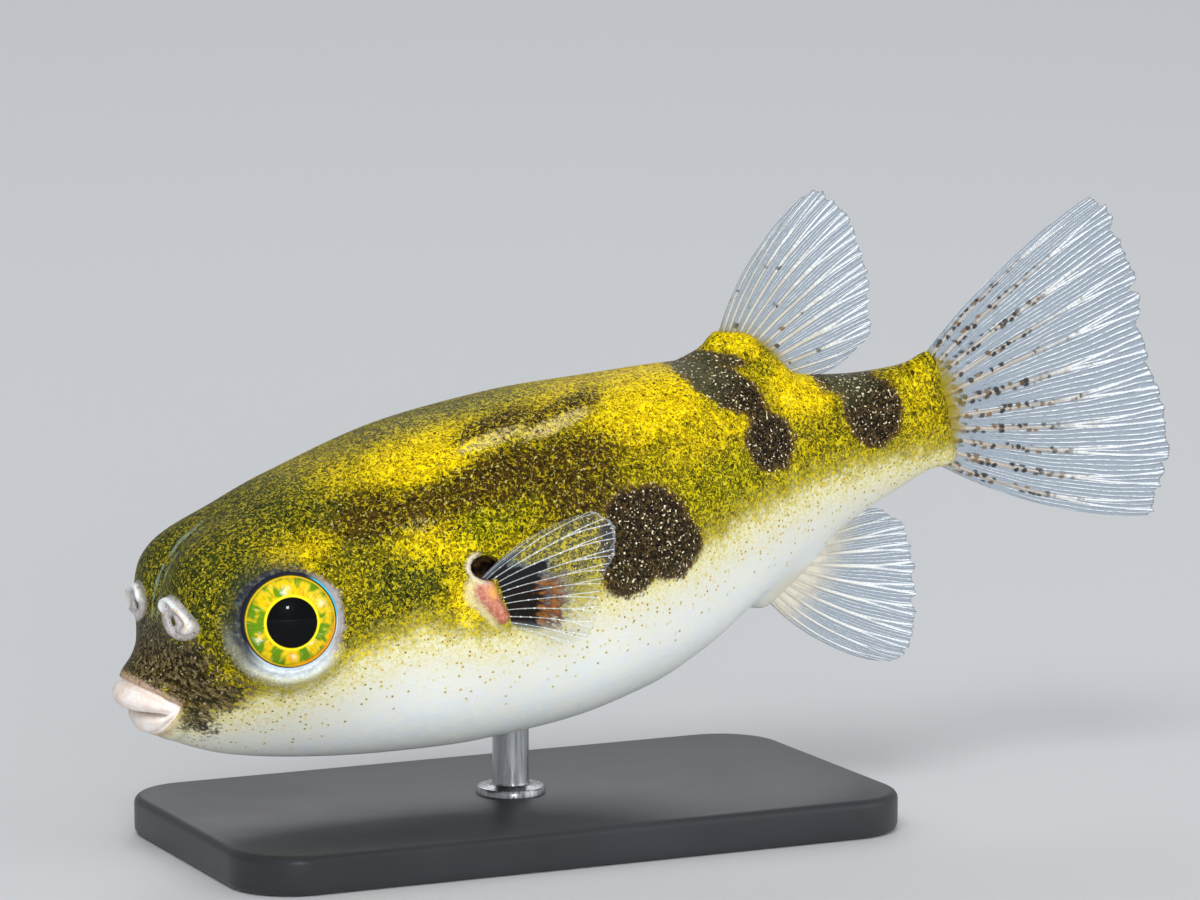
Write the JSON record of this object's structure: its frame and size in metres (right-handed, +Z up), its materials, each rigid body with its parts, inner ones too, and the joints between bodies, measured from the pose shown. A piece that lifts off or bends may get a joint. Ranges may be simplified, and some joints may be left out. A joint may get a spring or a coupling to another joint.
{
  "type": "freshwater pufferfish model",
  "caption": "Life-size still model of a young freshwater pufferfish swimming nose down, held over a low flat base by a short rod.",
  "frame": {"origin": "middle of the stand base's flat underside", "axes": "+Z up; the fish looks along -X with its nose tipped down, so +X runs towards its tail; its left side faces -Y"},
  "size_m": [0.0708, 0.0256, 0.0379],
  "materials": {
    "skin": "moist olive-yellow skin with dark blotches, dense gold flecks and a white belly",
    "lip": "moist pale pink lip",
    "nasal_flap": "thin pale grey flesh",
    "eye": "wet gold-green iris round a black pupil",
    "fin": "clear webbed fin with pale rays",
    "stand_base": "satin black paint",
    "stand_rod": "brushed along its length"
  },
  "bodies": {
    "root": {"head": "skin", "trunk": "skin", "tail": "skin", "upper_lip": "lip", "lower_lip": "lip", "nostril_left": "nasal_flap", "nostril_right": "nasal_flap", "eye_left": "eye", "eye_right": "eye", "pectoral_fin_left": "fin", "pectoral_fin_right": "fin", "dorsal_fin": "fin", "anal_fin": "fin", "caudal_fin": "fin", "stand_base": "stand_base", "stand_rod": "stand_rod"}
  },
  "joints": []
}
